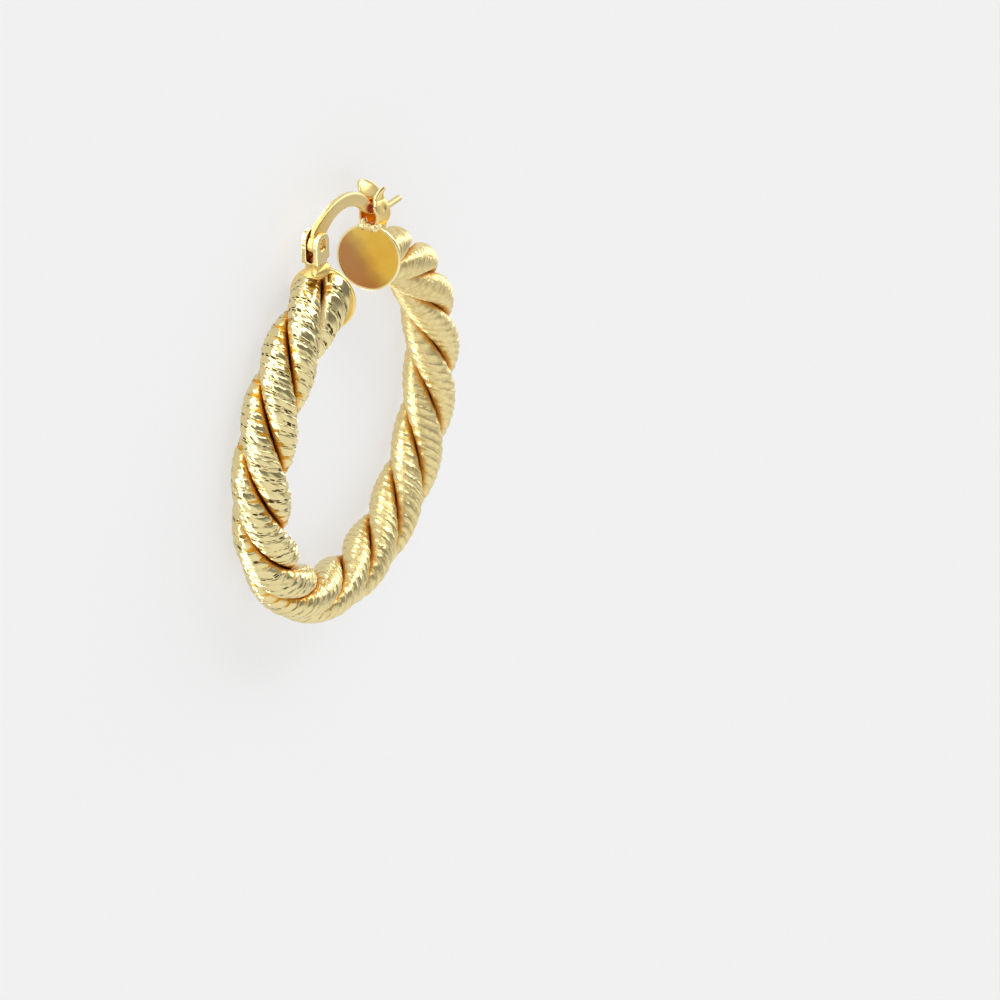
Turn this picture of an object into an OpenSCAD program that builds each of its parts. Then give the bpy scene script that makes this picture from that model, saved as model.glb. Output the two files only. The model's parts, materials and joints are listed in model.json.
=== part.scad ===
// Twisted hoop earring with a hinged ear wire that snaps into a sprung catch.
// The hoop lies on its side, with its own axis along Z and its gap towards +Y.
// Angles round the hoop are counted from the middle of the gap, towards the hinge.

/* [Hoop and rope] */
// Radius from the middle of the hoop to the middle of the rope
hoop_r = 16; // [15:0.5:18]
// Radius of the round that the outsides of the strands lie on
rope_r = 2.71; // [2.5:0.01:2.75]
// Turns that the strands make in one full circle of the hoop
lay_turns = 5.56; // [4:0.01:7]
// How far the lay has drifted at the gap, tighter by the hinge and looser by the catch
lay_drift = 41; // [0:1:60]
// Angle of the first strand round the rope, in the middle of the gap
lay_start = 6; // [-60:1:60]
// Height of a strand's oval across the rope
strand_h = 2.66; // [2.4:0.02:2.7]
// Width of a strand's oval, cut straight across the rope
strand_w = 3.16; // [2.9:0.02:3.3]
// Gap that is left between two strands
strand_gap = 0.08; // [0.06:0.01:0.15]
// Share by which the rope swells where it meets the hinge cap
end_swell = 0.07; // [0:0.01:0.08]
// Extra twist of the strands where they meet the hinge cap, in degrees
end_twist = 12; // [0:1:20]

/* [End caps] */
// Radius of the round cap on each end of the rope
cap_r = 3.08; // [3:0.01:3.2]
// Thickness of a cap, which is also its rounded edge
cap_t = 0.34; // [0.3:0.02:0.5]
// Angle from the middle of the gap to the face of the hinge cap
hinge_cap_at = 14.5; // [13.5:0.1:15.5]
// Angle from the middle of the gap to the face of the catch cap
catch_cap_at = 15; // [14:0.1:16]
// Turn of the hinge cap towards the inside of the hoop
hinge_cap_turn = 21; // [10:1:24]
// Turn of the catch cap towards the inside of the hoop
catch_cap_turn = 2; // [0:1:6]
// Lean of the hinge cap, with its top towards the catch
hinge_cap_lean = 10; // [0:1:12]
// Lean of the catch cap, the same way
catch_cap_lean = 7; // [0:1:9]

/* [Hinge] */
// Distance of the hinge pin from the middle of the gap
pin_x = 5.15; // [4.9:0.05:5.4]
// Height of the hinge pin above the middle of the hoop
pin_y = 21.45; // [21.3:0.05:21.7]
// Radius of the hinge pin
pin_r = 0.34; // [0.3:0.01:0.4]
// Play between the pin and the eye of the ear wire
pin_play = 0.03; // [0.02:0.01:0.06]
// Width of the two ears that hold the pin
ear_w = 2.1; // [1.9:0.02:2.2]
// Thickness of the fork over both of its ears
fork_t = 1.64; // [1.5:0.02:1.9]
// Width of the slot between the ears
slot_w = 0.7; // [0.66:0.02:0.8]
// How much the ear on the underside stands taller than the other
far_ear_rise = 0.26; // [0:0.02:0.4]

/* [Ear wire] */
// Thickness of the flat ear wire
wire_t = 0.6; // [0.5:0.02:0.62]
// Height of the bow of the ear wire
wire_w = 1.34; // [1.1:0.02:1.4]
// Height of its thin tail
tail_w = 0.52; // [0.4:0.02:0.6]
// Radius of the bow, along its middle
bow_r = 6.38; // [6.3:0.02:6.5]
// Length of the straight tail behind the catch
tail_l = 2; // [1.5:0.1:3]

/* [Catch] */
// Thickness of the sheet that the catch is bent from
sheet_t = 0.34; // [0.25:0.01:0.4]
// Play between the ear wire and the throat of the catch, on each side
throat_play = 0.04; // [0.03:0.01:0.1]
// Height of the throat above the middle of the rope
throat_h = 5.5; // [5.3:0.1:5.8]
// Height of the lip tips above the middle of the rope
lip_h = 7.4; // [7:0.1:7.6]
// How far the walls of the catch bulge below the throat
wall_bulge = 0.36; // [0.2:0.02:0.45]
// How far the lips flare out above the throat
lip_flare = 0.9; // [0.6:0.05:1]

/* [Hidden] */
gold = "#d9b95c";
pale_gold = "#e6cf86";
seat = 0.05;
full_turn = 360;
strands = 3;
strand_step = full_turn / strands;
wedge = strand_step / 2;
degree = 180 / PI;

// Where the model stands: the middle of its box over the origin, its lowest point at zero.
// The top of the box is the top of the bow, whose arc has its middle at bow_y
bow_y = 16.91;
top_y = bow_y + bow_r + wire_w / 2;
mid_y = (top_y - hoop_r - rope_r) / 2;
edge_r = cap_t / 2;
lift = (cap_r - edge_r) * cos(catch_cap_lean) + edge_r * (1 + sin(catch_cap_lean));

// The eye of the ear wire, and how the pin sits in the fork
eye_r = 0.94;
pin_seat = 0.01;
pin_short = 0.1;

// The rope runs the long way round, from behind the hinge cap to behind the catch cap
cap_step = (cap_t + seat) / hoop_r * degree;
rope_from = hinge_cap_at + cap_step;
rope_to = full_turn - catch_cap_at - cap_step;
strand_mid = rope_r - strand_h / 2;
rings = 130;
sides = 16;
square_off = 18;
corner_blend = 7;
settle_passes = 5;

// Distance from the middle of a strand to its skin, psi degrees round from outwards
function skin(psi) =
    let (
        oval = strand_h * strand_w / 2
            / norm([strand_w * cos(psi), strand_h * sin(psi)]),
        lean = sin(abs(psi) - wedge),
        room = strand_mid * sin(wedge) - strand_gap / 2,
        flat = lean > 0.01 ? room / lean : 100 * room
    )
    pow(pow(oval, -corner_blend) + pow(flat, -corner_blend), -1 / corner_blend);

// How near an angle is to each end of the rope: 1 at the end, 0 from square_off on
function near_hinge(angle) = max(0, 1 - (angle - rope_from) / square_off);
function near_catch(angle) = max(0, 1 - (rope_to - angle) / square_off);

// Distance from the hoop's axis and height of a skin point, at an angle round the hoop
function skin_at(strand, angle, psi) =
    let (
        drift = lay_drift * pow(angle / 180 - 1, 2),
        lay = lay_start + lay_turns * angle - drift + end_twist * near_hinge(angle),
        turn = lay + strand * strand_step,
        swell = 1 + end_swell * pow(near_hinge(angle), 2)
    )
    [
        hoop_r + swell * (strand_mid * cos(turn) + skin(psi) * cos(turn + psi)),
        swell * (strand_mid * sin(turn) + skin(psi) * sin(turn + psi))
    ];

// Angle from a cap's face to the skin point that would just touch the cap's back;
// lean is negative where the cap's top leans away from the rope
function back_step(at, cap_turn, lean) =
    asin((hoop_r * sin(cap_turn) + (cap_t + seat) / cos(lean) + at[1] * tan(lean)) / at[0])
        - cap_turn;

// Angle that a skin point moves by, so that a strand's end lies flat on its cap
function slip(at, angle) =
    near_hinge(angle) * (back_step(at, hinge_cap_turn, -hinge_cap_lean) - cap_step)
        - near_catch(angle) * (back_step(at, catch_cap_turn, catch_cap_lean) - cap_step);

// Angle round the hoop of a skin point, moved again and again until it settles
function settled(strand, angle, psi, guess, passes) =
    passes == 0 ? guess :
    settled(strand, angle, psi, angle + slip(skin_at(strand, guess, psi), angle), passes - 1);

// A point of the strand's surface, on a ring and on a side of its section
function strand_point(strand, ring, side) =
    let (
        psi = side * full_turn / sides - full_turn / 2,
        angle = rope_from + (rope_to - rope_from) * ring / rings,
        place = settled(strand, angle, psi, angle, settle_passes),
        at = skin_at(strand, place, psi)
    )
    [-at[0] * sin(place), at[0] * cos(place), at[1]];

// Middle of a strand's flat end, which closes it with a fan of faces
function end_middle(strand, ring) =
    [for (axis = [0:2])
        let (round = [for (side = [0:sides - 1]) strand_point(strand, ring, side)[axis]])
        round * [for (side = [0:sides - 1]) 1 / sides]];

// The whole model in its place on the ground
module place() {
    translate([0, -mid_y, lift]) children();
}

// A frame on the rope: X towards the hinge's side of the gap, Y out of the hoop
module on_rope(angle) {
    rotate([0, 0, angle]) translate([0, hoop_r, 0]) children();
}

// The places of the two caps, with X square to their faces and towards the hinge
module hinge_cap_place() {
    on_rope(hinge_cap_at) rotate([0, hinge_cap_lean, -hinge_cap_turn]) children();
}

module catch_cap_place() {
    on_rope(-catch_cap_at) rotate([0, catch_cap_lean, catch_cap_turn]) children();
}

// The room that the rope takes, which the soldered feet stand clear of
module rope_room(swell) {
    rotate_extrude($fn = 96) translate([hoop_r, 0])
        circle(rope_r * (1 + swell) + seat, $fn = 64);
}

// One strand of the rope
module strand(index) {
    points = concat(
        [for (ring = [0:rings], side = [0:sides - 1]) strand_point(index, ring, side)],
        [end_middle(index, 0), end_middle(index, rings)]
    );
    start_mid = (rings + 1) * sides;
    end_mid = start_mid + 1;
    walls = [
        for (ring = [0:rings - 1], side = [0:sides - 1])
            let (
                next = (side + 1) % sides,
                low = ring * sides,
                high = low + sides
            )
            each [
                [low + side, high + side, high + next],
                [low + side, high + next, low + next]
            ]
    ];
    ends = [
        for (side = [0:sides - 1])
            let (next = (side + 1) % sides, last = rings * sides)
            each [
                [start_mid, side, next],
                [end_mid, last + next, last + side]
            ]
    ];
    color(gold) place() polyhedron(points, concat(walls, ends), convexity = 12);
}

module strand_1() { strand(0); }
module strand_2() { strand(1); }
module strand_3() { strand(2); }

// A round cap with a rounded edge and a raised rim round its face, face at z = 0
module cap() {
    rim_w = 0.22;
    rim_h = 0.06;
    difference() {
        rotate_extrude($fn = 96) {
            translate([0, -cap_t]) square([cap_r - edge_r, cap_t]);
            intersection() {
                translate([cap_r - edge_r, -edge_r]) circle(edge_r, $fn = 32);
                translate([0, -cap_t]) square([cap_r + 1, cap_t]);
            }
        }
        translate([0, 0, -rim_h]) cylinder(h = 1, r = cap_r - rim_w, $fn = 96);
    }
}

// The hinge cap, with the fork that holds the pin soldered to its rim
module hinge_end() {
    color(gold) place() {
        hinge_cap_place() rotate([0, 90, 0]) cap();
        difference() {
            intersection() {
                fork();
                fork_front();
            }
            intersection() {
                rope_room(end_swell);
                hinge_cap_place() translate([-hoop_r - cap_t, -hoop_r, -hoop_r])
                    cube([hoop_r, 2 * hoop_r, 2 * hoop_r]);
            }
        }
    }
}

// The fork seen along the wire: straight ears on a foot that is a little narrower
module fork_front() {
    foot_t = fork_t - 0.4;
    shoulder = 20.2;
    ankle = 19.3;
    rotate([0, 90, 0]) translate([0, 0, -2 * pin_x]) linear_extrude(2 * pin_x) polygon([
        [-foot_t / 2, ankle - 3],
        [foot_t / 2, ankle - 3],
        [foot_t / 2, ankle],
        [fork_t / 2, shoulder],
        [fork_t / 2, pin_y + ear_w],
        [-fork_t / 2, pin_y + ear_w],
        [-fork_t / 2, shoulder],
        [-foot_t / 2, ankle]
    ]);
}

// Outline of one ear, on the foot that spreads onto the rim of the cap
module ear_outline(rise) {
    foot_spread = 0.34;
    foot_top = 19.1;
    foot_low = 17.5;
    translate([-pin_x, pin_y + rise]) circle(d = ear_w, $fn = 64);
    translate([-pin_x - ear_w / 2, foot_low]) square([ear_w, pin_y + rise - foot_low]);
    polygon([
        [-pin_x, foot_low],
        [-pin_x + ear_w / 2 + foot_spread, foot_low],
        [-pin_x + ear_w / 2 + foot_spread, foot_top - foot_spread],
        [-pin_x + ear_w / 2, foot_top],
        [-pin_x, foot_top]
    ]);
}

// Fork: two ears with round tops, with a slot between them and a sunk hole for the pin
module fork() {
    slot_low = 19.95;
    sink_r = 0.58;
    sink_d = 0.16;
    difference() {
        union() {
            linear_extrude(fork_t / 2) ear_outline(0);
            translate([0, 0, -fork_t / 2]) linear_extrude(fork_t / 2) ear_outline(far_ear_rise);
        }
        translate([-pin_x - ear_w, slot_low + slot_w / 2, 0]) {
            rotate([0, 90, 0]) cylinder(h = 2 * ear_w, d = slot_w, $fn = 32);
            translate([0, 0, -slot_w / 2]) cube([2 * ear_w, pin_y, slot_w]);
        }
        translate([-pin_x, pin_y, -fork_t])
            cylinder(h = 2 * fork_t, r = pin_r + pin_seat, $fn = 48);
        translate([-pin_x, pin_y, fork_t / 2 - sink_d]) cylinder(h = 1, r = sink_r, $fn = 48);
    }
}

// The pin that the ear wire turns on, which stops short of the sunk face
module hinge_pin() {
    color(pale_gold) place() translate([-pin_x, pin_y, -fork_t / 2])
        cylinder(h = fork_t - pin_short, r = pin_r, $fn = 48);
}

// The middle line of the ear wire: each row is one stretch of it, from the pin to the tip
LENGTH = 0;
TURN = 1;
WIDTH = 2;
STEPS = 3;
wire_heading = 63;
tail_start_w = 0.66;
bow_from = 118;
bow_wide_to = 103;
bow_even_from = 90;
bow_to = 42;
wire_runs = [
    // length, turn in degrees, width at its end, steps
    [1.45, -35, 2 * eye_r, 4],
    [(bow_from - bow_wide_to) / degree * bow_r, bow_wide_to - bow_from, 1.5, 5],
    [(bow_wide_to - bow_even_from) / degree * bow_r, bow_even_from - bow_wide_to, wire_w, 5],
    [(bow_even_from - bow_to) / degree * bow_r, bow_to - bow_even_from, wire_w - 0.12, 16],
    [1, 9, 1, 4],
    [1.5, 13, tail_start_w, 4],
    [2.55, 20, tail_w, 6],
    [tail_l, 0, tail_w, 2]
];

// One small step for each part of each stretch: its length, turn and width at its end
wire_steps = [
    for (run = [0:len(wire_runs) - 1])
        let (
            row = wire_runs[run],
            before = run == 0 ? row[WIDTH] : wire_runs[run - 1][WIDTH]
        )
        for (i = [1:row[STEPS]])
            [
                row[LENGTH] / row[STEPS],
                row[TURN] / row[STEPS],
                before + (row[WIDTH] - before) * i / row[STEPS]
            ]
];

// Places along the wire as x, y, heading and width, each worked out from the one before
function wire_line(i = 0, x = -pin_x, y = pin_y, heading = wire_heading, width = 2 * eye_r) =
    i == len(wire_steps) ? [[x, y, heading, width]] :
    let (step = wire_steps[i], way = heading + step[TURN] / 2)
    concat(
        [[x, y, heading, width]],
        wire_line(i + 1, x + step[LENGTH] * cos(way), y + step[LENGTH] * sin(way),
            heading + step[TURN], step[WIDTH])
    );

// A point beside the wire's middle line, on its left or right
function beside(at, side) =
    [at[0] - side * at[3] / 2 * sin(at[2]), at[1] + side * at[3] / 2 * cos(at[2])];

// The hinged ear wire: a flat bow with an eye at one end and a thin tail at the other
module ear_wire() {
    line = wire_line();
    tip = line[len(line) - 1];
    color(gold) place() difference() {
        translate([0, 0, -wire_t / 2]) linear_extrude(wire_t) {
            polygon(concat(
                [for (at = line) beside(at, -1)],
                [for (i = [len(line) - 1:-1:0]) beside(line[i], 1)]
            ));
            translate([tip[0], tip[1]]) circle(d = tip[3], $fn = 24);
            translate([-pin_x, pin_y]) circle(eye_r, $fn = 64);
        }
        translate([-pin_x, pin_y, -1]) cylinder(h = 2, r = pin_r + pin_play, $fn = 48);
    }
}

// Distance of a catch wall's middle from the middle plane, at a height above the rope
throat_z = wire_t / 2 + throat_play + sheet_t / 2;
floor_h = 3.1;
floor_z = 0.55;
function wall_z(h) =
    h < throat_h ?
        let (part = (h - floor_h) / (throat_h - floor_h))
        floor_z + (throat_z - floor_z) * part + wall_bulge * sin(180 * part)
    :
        throat_z + lip_flare * pow((h - throat_h) / (lip_h - throat_h), 1.2);

// The catch seen along the wire: a floor and two walls that pinch in and flare out
module catch_section() {
    steps = 24;
    heights = [for (i = [0:steps]) floor_h + (lip_h + 0.1 - floor_h) * i / steps];
    floor_low = 2.2;
    polygon(concat(
        [[-floor_z - sheet_t / 2, floor_low], [floor_z + sheet_t / 2, floor_low]],
        [for (h = heights) [wall_z(h) + sheet_t / 2, h]],
        [for (i = [steps:-1:0]) [wall_z(heights[i]) - sheet_t / 2, heights[i]]],
        [for (h = heights) [sheet_t / 2 - wall_z(h), h]],
        [for (i = [steps:-1:0]) [-wall_z(heights[i]) - sheet_t / 2, heights[i]]]
    ));
}

// Outlines of the two walls of the catch, each with its own leaf shape for a lip:
// how far a point lies towards the gap, and its height above the middle of the rope
far_wall = [
    [-0.95, 2.2], [1.3, 2.2], [1.4, 4], [1.6, 5.2], [2.55, 6.4], [2.1, 7.05], [1.6, 7.15],
    [1.15, 7.02], [0.4, 6.8], [-0.2, 6.6], [-0.7, 6.2], [-0.96, 5.8], [-1.05, 5.4], [-1.05, 4]
];
near_wall = [
    [-0.95, 2.2], [1.3, 2.2], [1.2, 3.4], [1.55, 4.2], [1.9, 4.6], [1.95, 5], [1.6, 5.5],
    [1.35, 6], [1.1, 6.4], [0.95, 6.78], [0.45, 6.7], [0.4, 6.1], [-0.3, 5.45], [-0.85, 4.7],
    [-1.06, 4]
];

// The catch cap, with the sprung catch soldered to its rim
module catch_end() {
    catch_at = -16.5;
    half_room = 3;
    color(gold) place() {
        catch_cap_place() rotate([0, -90, 0]) {
            cap();
            solder();
        }
        difference() {
            on_rope(catch_at) intersection() {
                rotate([0, 90, 0]) translate([0, 0, -half_room])
                    linear_extrude(2 * half_room) catch_section();
                union() {
                    mirror([1, 0, 0]) translate([0, 0, -half_room])
                        linear_extrude(half_room) polygon(far_wall);
                    mirror([1, 0, 0]) linear_extrude(half_room) polygon(near_wall);
                }
            }
            rope_room(0);
        }
    }
}

// The bead of solder that joins the foot of the catch to the rim of its cap
module solder() {
    bead_r = 0.4;
    bead_l = 1.7;
    intersection() {
        translate([-bead_l / 2, cap_r - 0.15, -0.05]) rotate([0, 90, 0])
            cylinder(h = bead_l, r = bead_r, $fn = 32);
        translate([-cap_r, 0, -cap_t]) cube([2 * cap_r, 2 * cap_r, cap_r]);
    }
}

strand_1();
strand_2();
strand_3();
hinge_end();
catch_end();
hinge_pin();
ear_wire();
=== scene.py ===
import json
import math

import bpy
import numpy as np
from mathutils import Matrix, noise


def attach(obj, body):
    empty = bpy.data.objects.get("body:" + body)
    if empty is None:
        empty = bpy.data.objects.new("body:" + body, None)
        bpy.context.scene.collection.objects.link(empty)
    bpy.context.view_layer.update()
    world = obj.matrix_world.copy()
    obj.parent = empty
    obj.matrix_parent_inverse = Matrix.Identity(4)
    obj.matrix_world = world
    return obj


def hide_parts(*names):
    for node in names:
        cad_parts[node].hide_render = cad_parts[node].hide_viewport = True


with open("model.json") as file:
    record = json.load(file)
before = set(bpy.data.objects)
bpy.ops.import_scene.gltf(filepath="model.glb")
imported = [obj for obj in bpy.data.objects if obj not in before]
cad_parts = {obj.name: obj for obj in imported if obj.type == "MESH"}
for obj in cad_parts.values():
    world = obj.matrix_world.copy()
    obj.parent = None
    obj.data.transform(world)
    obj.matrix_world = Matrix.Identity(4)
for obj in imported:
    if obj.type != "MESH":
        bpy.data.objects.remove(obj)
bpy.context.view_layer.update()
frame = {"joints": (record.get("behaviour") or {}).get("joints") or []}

# Everything is worked out in millimetres and brought to metres when a mesh is finished
MM = 0.001

# The rope, as in the CAD
HOOP_R = 16.0
ROPE_R = 2.71
LAY_TURNS = 5.56
LAY_DRIFT = 41.0
LAY_START = 6.0
STRANDS = 3
STRAND_H = 2.66
STRAND_W = 3.16
STRAND_GAP = 0.08
END_SWELL = 0.07
END_TWIST = 12.0
SQUARE_OFF = 18.0
SKIN_CORNER = 12
SEAT = 0.05
WEDGE = 60.0
STRAND_MID = ROPE_R - STRAND_H / 2

# The caps, as in the CAD
CAP_R = 3.08
CAP_T = 0.34
RIM_W = 0.22
RIM_H = 0.06
HINGE_CAP_AT = 14.5
HINGE_CAP_TURN = 21.0
HINGE_CAP_LEAN = 10.0
CATCH_CAP_AT = 15.0
CATCH_CAP_TURN = 2.0
CATCH_CAP_LEAN = 7.0

# The hinge, the ear wire and the catch, as in the CAD
PIN_REACH = 21.45
PIN_R = 0.34
PIN_SHORT = 0.1
EAR_W = 2.1
FORK_T = 1.64
SLOT_W = 0.7
SLOT_LOW = 19.95
FAR_EAR_RISE = 0.26
WIRE_T = 0.6
WIRE_W = 1.34
TAIL_W = 0.52
TAIL_START_W = 0.66
TAIL_L = 2.0
BOW_R = 6.38
EYE_R = 0.94
WIRE_EDGE = 0.22
WIRE_HEADING = 63.0
SHEET_T = 0.34
THROAT_PLAY = 0.04
THROAT_H = 5.5
LIP_H = 7.4
WALL_BULGE = 0.36
LIP_FLARE = 0.9
FLOOR_H = 3.1
FLOOR_Z = 0.55
CATCH_AT = -16.5

# The ribs: each is a smooth facet between two grooves, and then a band of small teeth.
# Rows are places along a rib, as a share of its pitch
RIB_PITCH = 1.05
RIB_ROWS = [0.0, 0.045, 0.12, 0.22, 0.33, 0.44, 0.54, 0.615, 0.66, 0.76, 0.86, 0.95]
RIB_JITTER = 0.17
FACET_MID = 0.33
FACET_HALF = 0.3
FACET_FLAT = 0.016
FACET_EDGE = 0.06
FACET_LEAN = 0.04
FACET_RIPPLE = 0.036
SHORT_WAVE = 5.6
LONG_WAVE = 3.1
BEAD_CROWN = 0.1
RING_D = 0.052
GROOVE_D = 0.085
BAND_D = 0.045
BAND_FROM = 0.62
BAND_TO = 1.0
BAND_MID = 0.81
TOOTH_PITCH = 0.3
TOOTH_LENGTH = 0.5
TOOTH_D = 0.012
FINGERS = (3, 46)
FINGER_HALF = 0.2

# Points round a strand: close on the side that shows, and few on the hidden side
VISIBLE = 112.0
SHOWN_POINTS = 78
HIDDEN_POINTS = 10
SIDE_R = 1.45
SKIN_SINK = 0.012
FIRST_SEED = 40

# How the strands change round the hoop, from the hinge's end at 16 degrees to the catch's
# end at 344: angles, and the values there
RIB_TILT = ([110, 220], [8.0, 17.0])
CRISP = ([115, 155, 230, 290], [1.0, 0.42, 0.2, 0.0])
RINGS = ([285, 300], [0.0, 1.0])
SATIN = ([290, 310], [0.0, -0.35])
SHINE = ([312, 328], [0.0, 1.0])
BELOW_FORK = ([20, 24, 34, 40], [1.0, 0.2, 0.2, 1.0])

# Where the middle of the hoop lies, from the hinge that the frame gives
hinge = frame["joints"][0]["pos_m"]
CENTRE_Y = hinge[1] / MM - PIN_REACH
CENTRE_Z = hinge[2] / MM
PIN_X = -hinge[0] / MM
PIN_Y = hinge[1] / MM - CENTRE_Y
PLACE = Matrix.Translation((0.0, CENTRE_Y, CENTRE_Z))


def turn_z(degrees):
    return Matrix.Rotation(math.radians(degrees), 4, "Z")


def turn_y(degrees):
    return Matrix.Rotation(math.radians(degrees), 4, "Y")


def on_rope(angle):
    """A frame on the rope: X towards the hinge's side of the gap, Y out of the hoop."""
    return turn_z(angle) @ Matrix.Translation((0.0, HOOP_R, 0.0))


HINGE_CAP = on_rope(HINGE_CAP_AT) @ turn_z(-HINGE_CAP_TURN) @ turn_y(HINGE_CAP_LEAN) @ turn_y(90)
CATCH_CAP = on_rope(-CATCH_CAP_AT) @ turn_z(CATCH_CAP_TURN) @ turn_y(CATCH_CAP_LEAN) @ turn_y(-90)


def piece(name, verts, faces, body, nodes, material, place=None):
    """A finished piece from points in millimetres, in the hoop's own frame."""
    mesh = bpy.data.meshes.new(name)
    mesh.from_pydata([tuple(v) for v in verts], [], [tuple(int(i) for i in f) for f in faces])
    to_part = PLACE if place is None else PLACE @ place
    mesh.transform(Matrix.Scale(MM, 4) @ to_part)
    mesh.validate()
    mesh.update()
    obj = bpy.data.objects.new(name, mesh)
    bpy.context.scene.collection.objects.link(obj)
    mesh.polygons.foreach_set("use_smooth", [True] * len(mesh.polygons))
    mesh.materials.append(material)
    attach(obj, body)
    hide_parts(*nodes)
    return obj


def grid_faces(rows, columns, wrap=True):
    """Faces of a tube of rings, each ring with the same number of points."""
    last = columns if wrap else columns - 1
    r, c = np.meshgrid(np.arange(rows - 1), np.arange(last), indexing="ij")
    n = (c + 1) % columns
    low, high = r * columns, (r + 1) * columns
    return np.stack([low + c, low + n, high + n, high + c], -1).reshape(-1, 4)


def tube(rings, flip=False):
    """A closed tube through rings of points, with a fan over each end."""
    rows, columns, _ = rings.shape
    faces = grid_faces(rows, columns)
    verts = np.vstack([rings.reshape(-1, 3), rings[0].mean(0), rings[-1].mean(0)])
    start, end = rows * columns, rows * columns + 1
    last = (rows - 1) * columns
    fans = []
    for i in range(columns):
        n = (i + 1) % columns
        fans.append((start, n, i))
        fans.append((end, last + i, last + n))
    faces = [tuple(f) for f in faces] + fans
    if flip:
        faces = [f[::-1] for f in faces]
    return verts, faces


# Materials: helpers that put nodes together, and the metals

CLOUD_DETAIL = 3.0
SPECK_DETAIL = 4.0
SPECK_H = 0.2
BLUE_LOSS = 0.6
DULLEST = 1.25
BRIGHTEST = 0.8


def maths(tree, operation, *values):
    """A math node fed with numbers or with the outputs of other nodes."""
    node = tree.nodes.new("ShaderNodeMath")
    node.operation = operation
    for socket, value in zip(node.inputs, values):
        if isinstance(value, (int, float)):
            socket.default_value = value
        else:
            tree.links.new(value, socket)
    return node.outputs[0]


def vectors(tree, operation, value, other=None):
    """A vector math node on another node's output, and perhaps on a fixed vector."""
    node = tree.nodes.new("ShaderNodeVectorMath")
    node.operation = operation
    tree.links.new(value, node.inputs[0])
    if other is not None:
        node.inputs[1].default_value = other
    return node.outputs["Vector" if operation == "SUBTRACT" else "Value"]


def smooth_step(tree, value, low, high, out_low=0.0, out_high=1.0):
    """A smooth step from one level to another."""
    node = tree.nodes.new("ShaderNodeMapRange")
    node.interpolation_type = "SMOOTHSTEP"
    levels = {"From Min": low, "From Max": high, "To Min": out_low, "To Max": out_high}
    for name, number in levels.items():
        node.inputs[name].default_value = number
    tree.links.new(value, node.inputs["Value"])
    return node.outputs["Result"]


def mix(tree, share, low, high):
    """A colour between two, each a plain colour or the output of a node."""
    node = tree.nodes.new("ShaderNodeMix")
    node.data_type = "RGBA"
    tree.links.new(share, node.inputs["Factor"])
    for socket, colour in ((node.inputs["A"], low), (node.inputs["B"], high)):
        if isinstance(colour, (tuple, list)):
            socket.default_value = (*colour, 1)
        else:
            tree.links.new(colour, socket)
    return node.outputs["Result"]


def attribute(tree, name):
    node = tree.nodes.new("ShaderNodeAttribute")
    node.attribute_name = name
    return node.outputs["Fac"]


def spot_on_part(tree):
    """The place on the part, in metres."""
    return tree.nodes.new("ShaderNodeTexCoord").outputs["Object"]


def axes_of(tree, vector):
    node = tree.nodes.new("ShaderNodeSeparateXYZ")
    tree.links.new(vector, node.inputs["Vector"])
    return node.outputs["X"], node.outputs["Y"], node.outputs["Z"]


def noise_on_part(tree, size, detail=2.0):
    """Noise whose bumps are about a size in millimetres."""
    node = tree.nodes.new("ShaderNodeTexNoise")
    node.inputs["Scale"].default_value = 1 / (size * MM)
    node.inputs["Detail"].default_value = detail
    tree.links.new(spot_on_part(tree), node.inputs["Vector"])
    return node.outputs["Fac"]


def bump(tree, height, distance=1.0, strength=1.0):
    node = tree.nodes.new("ShaderNodeBump")
    node.inputs["Strength"].default_value = strength
    node.inputs["Distance"].default_value = distance
    tree.links.new(height, node.inputs["Height"])
    feed(tree, "Normal", node.outputs["Normal"])


def feed(tree, socket, value):
    """Link a value to an input of the material's shader."""
    tree.links.new(value, tree.nodes["Principled BSDF"].inputs[socket])


def metal(name, colour, rough, grain=0.0, grain_mm=0.1, cloud=0.0, cloud_mm=1.0):
    """Polished metal with a fine grain and a soft change of tone, and its colour's output."""
    mat = bpy.data.materials.new(name)
    mat.use_nodes = True
    tree = mat.node_tree
    tree.nodes["Principled BSDF"].inputs["Metallic"].default_value = 1.0
    clouds = noise_on_part(tree, cloud_mm, CLOUD_DETAIL)
    darker = [c * (1 - cloud * (1 + BLUE_LOSS * i)) for i, c in enumerate(colour)]
    tones = mix(tree, clouds, darker, colour)
    feed(tree, "Base Color", tones)
    spread = rough * (DULLEST - BRIGHTEST)
    feed(tree, "Roughness", maths(tree, "MULTIPLY_ADD", clouds, spread, rough * BRIGHTEST))
    if grain:
        specks = noise_on_part(tree, grain_mm, SPECK_DETAIL)
        bump(tree, specks, grain_mm * MM * SPECK_H, grain)
    return mat, tones


# Colours and finish of the strands
PALE = (0.86, 0.725, 0.36)
NEAR_PALE = (0.79, 0.67, 0.335)
KHAKI = (0.64, 0.49, 0.18)
# Painted shade in the grooves: amber, from light passed from strand to strand
GROOVE_SHADE_AMBER = (0.76, 0.38, 0.03)
# Painted shade, nearly black, at the bottom of the grooves
GROOVE_BOTTOM_SHADE = (0.35, 0.1, 0.01)
# Painted shade down in the cuts
CUT_PAINTED_SHADE = (0.025, 0.015, 0.008)
# Painted light: pale in the grooves below the fork, which lie in shade
SEAM_PAINTED_LIGHT = (0.97, 0.85, 0.52)
WHITE = (1, 1, 1)
NEAR_SHARE = 0.9
BLOTCH_SHARE = 0.4
CUT_SHARE = 0.97
BLOTCH = (0.42, 0.62)
STRAND_ROUGH = 0.08
FAR_ROUGH = 0.28
BAND_ROUGH = 0.2
GROOVE_ROUGH = 0.15
SHINE_GLOSS = 0.16
GROOVE_METAL = 0.45
FAR_HAZE = 0.24
GRAIN_SIZE = 0.42
FAR_GRAIN = 0.08
NEAR_GRAIN = 0.005
SHINE_SMOOTH = 0.7

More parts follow.
